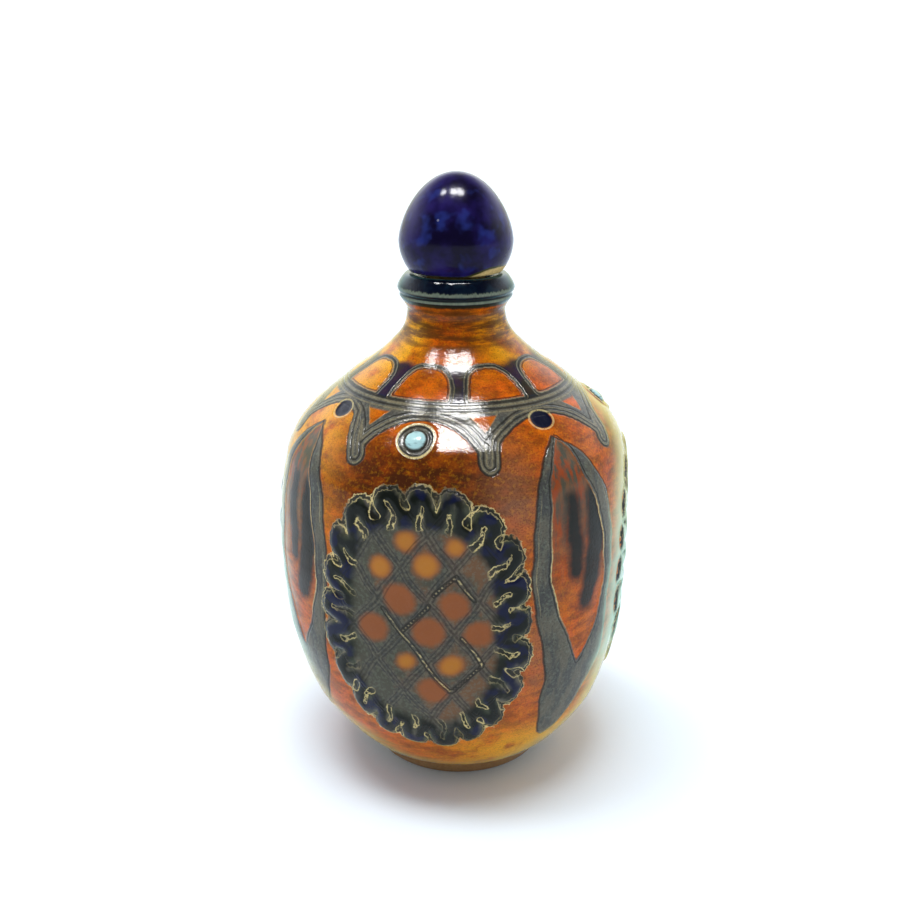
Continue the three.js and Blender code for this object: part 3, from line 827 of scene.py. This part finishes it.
# Slip bands: pods, festoon, ring and collar
pod, heart, streaks = wavy("pod", 0.5), wavy("heart", 0.6), wavy("streaks", 1.2)
festoon, arch, gap = wavy("festoon", 0.5), wavy("arch", 0.5), wavy("gap", 0.5)
brushed = g.noise(4, 4, 0.6, (1, 1, 0.3))
slip = g.mix(g.between(brushed, 0.4, 0.6), SLIP_BLUE, SLIP)
slip = g.mix(g.both(g.between(grain, 0.48, 0.68), 0.45), slip, SLIP_TEAL)
slip = g.mix(g.both(g.between(speckle, 0.48, 0.34), 0.35), slip, DARK_LINE)
on_pod = g.both(g.between(pod, -0.25, 0.25), g.between(heart, 0.35, -0.35))
below_ring = g.between(level, RING_BOTTOM + 0.5, RING_BOTTOM)
on_festoon = g.both(g.both(g.between(festoon, -1.1, -0.6), below_ring), g.between(gap, 0.2, -0.2))
above_ring_bottom = g.between(level, RING_BOTTOM - 0.5, RING_BOTTOM)
on_ring = g.both(above_ring_bottom, g.between(level, COLLAR_BASE + 0.6, COLLAR_BASE))
above_base = g.between(level, COLLAR_BASE - 0.4, COLLAR_BASE)
on_collar = g.both(g.both(g.between(arch, 0.2, -0.2), g.between(arch, -1.7, -1.2)), above_base)
patch_top = g.math("MULTIPLY_ADD", fade, 5, level)
spandrel = g.both(g.both(g.between(arch, -0.5, -1.3), above_base), g.between(patch_top, 121.4, 119.4))
colour = g.mix(g.either(g.either(on_pod, on_festoon), g.either(on_ring, on_collar)), ground, slip)
deep_glaze = g.mix(g.between(cloud, 0.4, 0.6), FOLD_NAVY, SPANDREL_GREEN)
colour = g.mix(g.both(spandrel, 0.95), colour, deep_glaze)

# The pods' hearts with their dark flames
in_heart = g.between(heart, -0.2, 0.5)
strokes = g.noise(1.8, 3, 0.6, (1, 1, 0.16))
warm = g.mix(g.between(cloud, 0.4, 0.6), BROWN, RUST)
warm = g.mix(g.between(strokes, 0.42, 0.62), warm, OLIVE)
colour = g.mix(g.both(in_heart, g.between(level, 52, 96)), colour, warm)
colour = g.mix(g.both(g.both(g.between(streaks, -2.4, 1), in_heart), 0.97), colour, FLAME)

# The medallion: ground of the oval, trellis, dots, then the ruffle
inward, edge, slot = g.field("inward"), g.math("ADD", g.field("edge"), squiggle), wavy("slot", 0.6)
pin, core = g.math("ADD", g.field("pin"), g.math("MULTIPLY", squiggle, 0.6)), wavy("core", 1.6)
in_oval = g.between(inward, RUFFLE_WIDTH - 6, RUFFLE_WIDTH - 4)
right, up = g.field("trellis_right"), g.field("trellis_up")
sloppy = g.math("MULTIPLY", g.math("SUBTRACT", g.noise(11, 1), 0.5), 0.16)
diamond_width = math.radians(DIAMOND_DEGREES) * BODY_RADIUS
steep = math.hypot(1 / diamond_width, 1 / DIAMOND_HEIGHT)


def trellis(direction):
    """Distance in millimetres from one family of the trellis' lines."""
    across = g.math("ADD", g.math("MULTIPLY_ADD", up, direction, right), sloppy)
    return g.math("DIVIDE", g.math("ABSOLUTE", g.math("SUBTRACT", g.math("FRACT", across), 0.5)), steep)


falling, rising = trellis(1), trellis(-1)
lattice = g.math("MINIMUM", falling, rising)
dot = wavy("dot", 0.9)
ruddy = g.math("MULTIPLY_ADD", right, 0.12, cloud)
oval = g.mix(g.between(ruddy, 0.46, 0.66), OLIVE, BROWN)
oval = g.mix(g.both(g.between(grain, 0.45, 0.65), 0.3), oval, SLIP_TEAL)
grainy_slip = g.mix(g.between(grain, 0.4, 0.6), SLIP_BLUE, SLIP)
oval = g.mix(g.both(g.between(lattice, 2.2, 0.9), 0.75), oval, grainy_slip)
spot = g.between(dot, 0.9, -1.3)
oval = g.mix(g.both(spot, 0.88), oval, g.mix(g.field("ochre"), DOT, OCHRE))
colour = g.mix(in_oval, colour, oval)
outside_oval = g.between(inward, RUFFLE_WIDTH + 0.6, RUFFLE_WIDTH - 2.4)
in_ruffle = g.both(g.between(edge, -0.2, 0.3), outside_oval)
shade = g.math("MULTIPLY_ADD", cloud, 5, g.math("SUBTRACT", core, 2.5))
deep = g.mix(g.between(g.noise(6, 2), 0.5, 0.6), FOLD, FOLD_NAVY)
pale = g.mix(g.between(brushed, 0.42, 0.62), FOLD_GREEN, SLIP)
fold = g.mix(g.between(shade, 0.6, 3.4), deep, pale)
colour = g.mix(in_ruffle, colour, fold)

# Incised lines: cream beside dark
patchy = g.between(fade, 0.36, 0.6)
ring_lines = g.either(g.line(level, RING_LINES[1], 0.3), g.line(level, RING_LINES[0], 0.22))
trace = g.math("MULTIPLY_ADD", squiggle, 0.2, g.field("trace"))
in_lines = g.both(g.line(trace, 0, 0.24), g.math("MULTIPLY_ADD", patchy, 0.4, 0.5))
mid_height = g.both(g.between(level, 50, 62), g.between(level, 94, 86))
pod_lines = g.both(g.either(g.line(heart, 0, 0.26), g.both(g.line(pod, 1.2, 0.2), 0.3)), mid_height)
festoon_lines = g.either(g.line(festoon, -0.2, 0.26), g.line(festoon, 1.2, 0.24))
festoon_lines = g.both(g.either(festoon_lines, g.line(gap, 0, 0.3)), below_ring)
collar_lines = g.both(g.either(g.line(arch, -0.15, 0.28), g.line(arch, -1.1, 0.22)), above_base)
on_shoulder = g.either(festoon_lines, g.either(collar_lines, ring_lines))
near_ruffle = g.between(inward, -2.5, -1.5)
ruffle_lines = g.both(g.either(g.line(edge, 0, 0.22), g.both(g.line(edge, 1.1, 0.2), 0.5)), near_ruffle)
slot_lines = g.both(g.both(g.line(slot, 0.75, 0.2), g.between(edge, -0.3, 0.3)), g.between(inward, 8, 7))
pin_lines = g.both(g.line(pin, 0, 0.2), g.between(inward, RUFFLE_WIDTH, RUFFLE_WIDTH - 1.5))
boss, stud = g.field("boss"), g.field("stud")
boss_lines = g.both(g.line(boss, BOSS_RING_RADIUS, 0.4), 0.8)
cream = g.either(ruffle_lines, g.either(slot_lines, pin_lines))
cream = g.both(cream, g.math("MULTIPLY_ADD", patchy, 0.75, 0.1))
cream = g.either(cream, g.either(g.both(on_shoulder, 0.13), g.both(in_lines, 0.85)))
cream = g.either(cream, g.either(g.both(pod_lines, g.math("MULTIPLY_ADD", patchy, 0.6, 0.1)), boss_lines))
cream = g.either(cream, g.both(g.line(stud, STUD_RADIUS + 0.3, 0.35), 0.5))
dark = g.either(g.both(g.line(edge, 0.6, 0.4), near_ruffle), g.both(g.between(pin, 0, -0.4), in_ruffle))
dark = g.either(dark, g.both(g.between(slot, 0.55, 0.2), in_ruffle))
lattice_lines = g.both(g.either(g.line(lattice, 0.05, 0.35), g.line(lattice, 0.95, 0.25)), in_oval)
dark = g.either(dark, g.either(g.both(lattice_lines, 0.55), g.line(trace, 0.5, 0.28)))
dark = g.either(dark, g.both(g.either(g.line(festoon, -0.8, 0.4), g.line(festoon, 0.5, 0.35)), below_ring))
dark = g.either(dark, g.both(g.line(festoon, 2, 0.35), below_ring))
dark = g.either(dark, g.either(g.line(pod, 0, 0.45), g.line(heart, -0.7, 0.35)))
dark = g.either(dark, g.both(g.either(g.line(arch, -0.65, 0.45), g.line(arch, 0.3, 0.3)), above_base))
dark = g.either(dark, g.either(g.line(boss, BOSS_RADIUS + 0.2, 0.5), g.line(boss, BOSS_RADIUS + 1.3, 0.3)))
ring_grooves = g.either(g.line(level, RING_GROOVES[1], 0.35), g.line(level, RING_GROOVES[0], 0.3))
dark = g.either(dark, ring_grooves)
colour = g.mix(g.between(g.field("boss"), BOSS_RING_RADIUS + 0.5, BOSS_RING_RADIUS), colour, slip)
colour = g.mix(g.both(dark, 0.75), colour, DARK_LINE)
colour = g.mix(g.both(cream, g.between(speckle, 0.28, 0.5)), colour, CREAM)
# Painted highlight: each boss painted pale blue-white as if lit by the overhead lamp, over its own blue
# glaze
boss_glaze_and_highlight = g.mix(g.between(streak, 0.52, 0.66), BOSS_GLAZE_AND_HIGHLIGHT, BOSS_HIGHLIGHT_STREAK)
colour = g.mix(g.between(boss, BOSS_RADIUS, BOSS_RADIUS - 0.5), colour, boss_glaze_and_highlight)
colour = g.mix(g.between(stud, STUD_RADIUS + 0.2, STUD_RADIUS - 0.2), colour, STUD)

# Lip and foot
lip = g.mix(g.between(g.noise(3, 2, 0.5, (1, 1, 0.5)), 0.4, 0.65), LIP_NAVY, LIP_TEAL)
drips = g.noise(0.8, 2, 0.6, (1, 1, 0.1))
drip_level = g.math("MULTIPLY_ADD", g.math("SUBTRACT", drips, 0.5), 1.4, level)
thin_band = g.between(drip_level, BEAD_START + 1.8, BEAD_START + 1.2)
thin_band = g.both(thin_band, g.between(level, BEAD_START + 0.4, BEAD_START + 0.9))
thin_ridge = g.line(level, RIDGE_HEIGHT + 0.05, 0.5)
thin_glaze = g.mix(drips, LIP_THIN, LIP_THINNEST)
lip = g.mix(g.either(g.both(thin_band, 0.9), thin_ridge), lip, thin_glaze)
lip = g.mix(g.line(level, GROOVE_HEIGHT, 0.4), lip, GROOVE_BLACK)
# Painted shade: dark olive in the undercut below the neck ridge
lip = g.mix(g.between(level, RIDGE_HEIGHT - 0.3, RIDGE_HEIGHT - 0.8), lip, LIP_UNDERCUT_SHADE)
colour = g.mix(g.between(g.math("MULTIPLY_ADD", wander, 0.6, level), 131.4, 132.1), colour, lip)
foot = g.mix(g.between(g.noise(3, 3, 0.6), 0.4, 0.6), FOOT_BROWN, FOOT_OCHRE)
foot = g.mix(g.both(g.between(axes[0], 0, 0.02), 0.7), foot, FOOT_GOLD)
# Painted shade: the foot darker on its left side
foot = g.mix(g.both(g.between(axes[0], 0, -0.012), 0.85), foot, FOOT_PAINTED_SHADE)
colour = g.mix(g.between(g.math("ADD", level, wander), 6.5, 4.2), colour, foot)
bare = g.both(g.no(g.field("outside")), g.between(level, 120, 118))
colour = g.mix(g.both(bare, g.between(level, 4, 3.2)), colour, g.mix(grain, CLAY, CLAY_DARK))

# Painted reflection: the glaze is painted pale where it is seen edge on, and paler on the right of the
# shoulder, in place of the pale room mirrored in it
facing = g.node("ShaderNodeLayerWeight", {"Blend": 0.5}, "Facing")
rim_reflection = g.mix(g.either(g.between(level, 60, 100), g.between(level, 44, 26)), PAINTED_RIM_REFLECTION, PAINTED_RIM_REFLECTION_GOLD)
# Painted sheen: a boost to the pale edge on the right of the shoulder
right_shoulder_sheen = g.both(g.between(axes[0], 0.025, 0.046), g.between(level, 118, 104))
edge_on_reflection = g.between(g.math("MULTIPLY_ADD", right_shoulder_sheen, 0.16, facing), 0.68, 1)
colour = g.mix(g.both(g.both(edge_on_reflection, g.between(level, 4, 9)), 0.9), colour, rim_reflection)
# Painted reflection: the lip's bead painted pale teal where it is seen edge on
on_lip = g.between(level, 131.6, 132.4)
colour = g.mix(g.both(g.both(g.between(facing, 0.42, 0.85), on_lip), 0.75), colour, LIP_RIM_REFLECTION)
normal = g.bump(g.noise(0.8, 2, 0.55), 0.1, 0.5)
normal = g.bump(g.math("MULTIPLY", g.either(cream, g.both(dark, 0.8)), -1), 0.16, 0.7, normal)
roughness = g.node("ShaderNodeMapRange", {"Value": cloud, "To Min": 0.06, "To Max": 0.16})
g.finish(colour, normal, roughness)
g.shader.inputs["Specular IOR Level"].default_value = 0.15
flask.data.materials.append(g.material)

g = Glaze("cobalt glaze")
cloud = g.noise(9, 3, 0.55)
patch = g.noise(5, 2, 0.5)
axes = g.node("ShaderNodeSeparateXYZ", {0: g.place}).node.outputs
level = g.math("DIVIDE", axes[2], MM)
cobalt = g.mix(g.between(cloud, 0.35, 0.65), COBALT_BLACK, COBALT)
cobalt = g.mix(g.both(g.between(patch, 0.52, 0.74), 0.5), cobalt, COBALT_BRIGHT)
# Painted reflection: the cobalt painted paler where it is seen edge on
side = g.node("ShaderNodeLayerWeight", {"Blend": 0.5}, "Facing")
cobalt = g.mix(g.both(g.between(side, 0.35, 0.9), 0.45), cobalt, COBALT_RIM_REFLECTION)

# Bare clay at the seat, higher on the right
glaze_end = LIP_HEIGHT + SEAT_GAP + 0.4
bared = g.math("MULTIPLY_ADD", g.between(axes[0], 0.001, 0.009), -2.2, level)
drip = g.math("MULTIPLY_ADD", patch, 0.6, bared)
clay = g.mix(g.noise(1, 3, 0.6), SEAT_BUFF, SEAT_BROWN)
cobalt = g.mix(g.line(drip, glaze_end, 0.6), cobalt, COBALT_DRIP)
colour = g.mix(g.between(drip, glaze_end, glaze_end - 0.4), cobalt, clay)
pinholes = g.node("ShaderNodeTexVoronoi", {"Vector": g.place, "Scale": 130}, "Distance")
colour = g.mix(g.between(pinholes, 0.05, 0.035), colour, PINHOLE)
normal = g.bump(g.noise(4, 2, 0.5), 0.25, 0.3)
bare = g.between(drip, glaze_end + 0.1, glaze_end - 0.4)
roughness = g.node("ShaderNodeMapRange", {"Value": bare, "To Min": 0.16, "To Max": 0.6})
g.finish(colour, normal, roughness)
g.shader.inputs["Specular IOR Level"].default_value = 0.12
stopper.data.materials.append(g.material)

# Stage: pale floor, soft light, the photograph's camera
FLOOR_WIDTH = 80
FLOOR_COLOUR = (0.78, 0.87, 0.95, 1)
bpy.ops.object.select_all(action="DESELECT")
bpy.ops.mesh.primitive_plane_add(size=FLOOR_WIDTH, location=(0, 0, 0))
floor = bpy.context.object
floor.name = "floor"
paint = bpy.data.materials.new("floor")
paint.use_nodes = True
paint_shader = paint.node_tree.nodes["Principled BSDF"]
paint_shader.inputs["Base Color"].default_value = FLOOR_COLOUR
paint_shader.inputs["Roughness"].default_value = 0.9
floor.data.materials.append(paint)


def lamp(name, azimuth, elevation, width_degrees, power):
    """A distant round lamp that shines on the flask. Azimuth 0 is on the camera's side."""
    light = bpy.data.lights.new(name, "SUN")
    light.angle = math.radians(width_degrees)
    light.energy = power
    piece = bpy.data.objects.new(name, light)
    bpy.context.scene.collection.objects.link(piece)
    turn, rise = math.radians(azimuth), math.radians(elevation)
    piece.location = (math.sin(turn) * math.cos(rise), -math.cos(turn) * math.cos(rise), math.sin(rise))
    piece.rotation_euler = (math.pi / 2 - rise, 0, turn)
    return piece


# Soft light on the clay, then the small lamps that the glaze mirrors:
# name, azimuth, elevation, width in degrees, power
SOFT_LAMPS = (
    ("overhead", 0, 85, 24, 1.7),
    ("from the left", -91, 72, 17, 1.05),
    ("front fill", 10, 38, 70, 0.5),
)
MIRRORED_LAMPS = (
    ("glint right", 46, 80, 13, 3.6),
    ("glint left", -34, 81.5, 13, 3.9),
    ("glint low", -84, 67.5, 9, 1.7),
)
for row in SOFT_LAMPS:
    lamp(*row).visible_glossy = False
for row in MIRRORED_LAMPS:
    lamp(*row).visible_diffuse = False

# The room: dark in front and above, pale behind
ROOM_NEAR_FLOOR = (1.3, 1.38, 1.1, 1)
ROOM_HIGHER = (2.15, 2.25, 2.35, 1)
world = bpy.data.worlds.new("studio")
bpy.context.scene.world = world
world.use_nodes = True
tree = world.node_tree
backdrop = tree.nodes["Background"]
direction = tree.nodes.new("ShaderNodeTexCoord")
parts = tree.nodes.new("ShaderNodeSeparateXYZ")
tree.links.new(direction.outputs["Generated"], parts.inputs[0])


def room_fade(axis, low, high, at_low, at_high):
    """A value that changes smoothly with the direction of sight along one axis."""
    made = tree.nodes.new("ShaderNodeMapRange")
    made.interpolation_type = "SMOOTHSTEP"
    made.inputs["From Min"].default_value = low
    made.inputs["From Max"].default_value = high
    made.inputs["To Min"].default_value = at_low
    made.inputs["To Max"].default_value = at_high
    tree.links.new(parts.outputs[axis], made.inputs["Value"])
    return made.outputs[0]


behind = room_fade("Y", -0.5, 0.35, 0.06, 1)
low_down = room_fade("Z", 0.85, 0.35, 0.08, 1)
pale_room = tree.nodes.new("ShaderNodeMath")
pale_room.operation = "MULTIPLY"
tree.links.new(behind, pale_room.inputs[0])
tree.links.new(low_down, pale_room.inputs[1])
room = tree.nodes.new("ShaderNodeMath")
room.operation = "MAXIMUM"
tree.links.new(pale_room.outputs[0], room.inputs[0])
tree.links.new(room_fade("Z", 0.5, 0, 0, 0.14), room.inputs[1])
tree.links.new(room.outputs[0], backdrop.inputs["Strength"])
tint = tree.nodes.new("ShaderNodeMix")
tint.data_type = "RGBA"
tint.clamp_result = False
tint.inputs[6].default_value = ROOM_NEAR_FLOOR
tint.inputs[7].default_value = ROOM_HIGHER
tree.links.new(room_fade("Z", 0.08, 0.35, 0, 1), tint.inputs[0])
tree.links.new(tint.outputs[2], backdrop.inputs["Color"])

# The camera, as solved from the photograph
CAMERA_PLACE = (-0.00196, -0.2916, 0.1893)
CAMERA_TILT_DEGREES = 71
LENS_LENGTH = 44
SENSOR_WIDTH = 36
lens = bpy.data.cameras.new("camera")
lens.lens = LENS_LENGTH
lens.sensor_width = SENSOR_WIDTH
camera = bpy.data.objects.new("camera", lens)
bpy.context.scene.collection.objects.link(camera)
camera.location = CAMERA_PLACE
camera.rotation_euler = (math.radians(CAMERA_TILT_DEGREES), 0, 0)
bpy.context.scene.camera = camera
bpy.context.scene.view_settings.view_transform = "Standard"
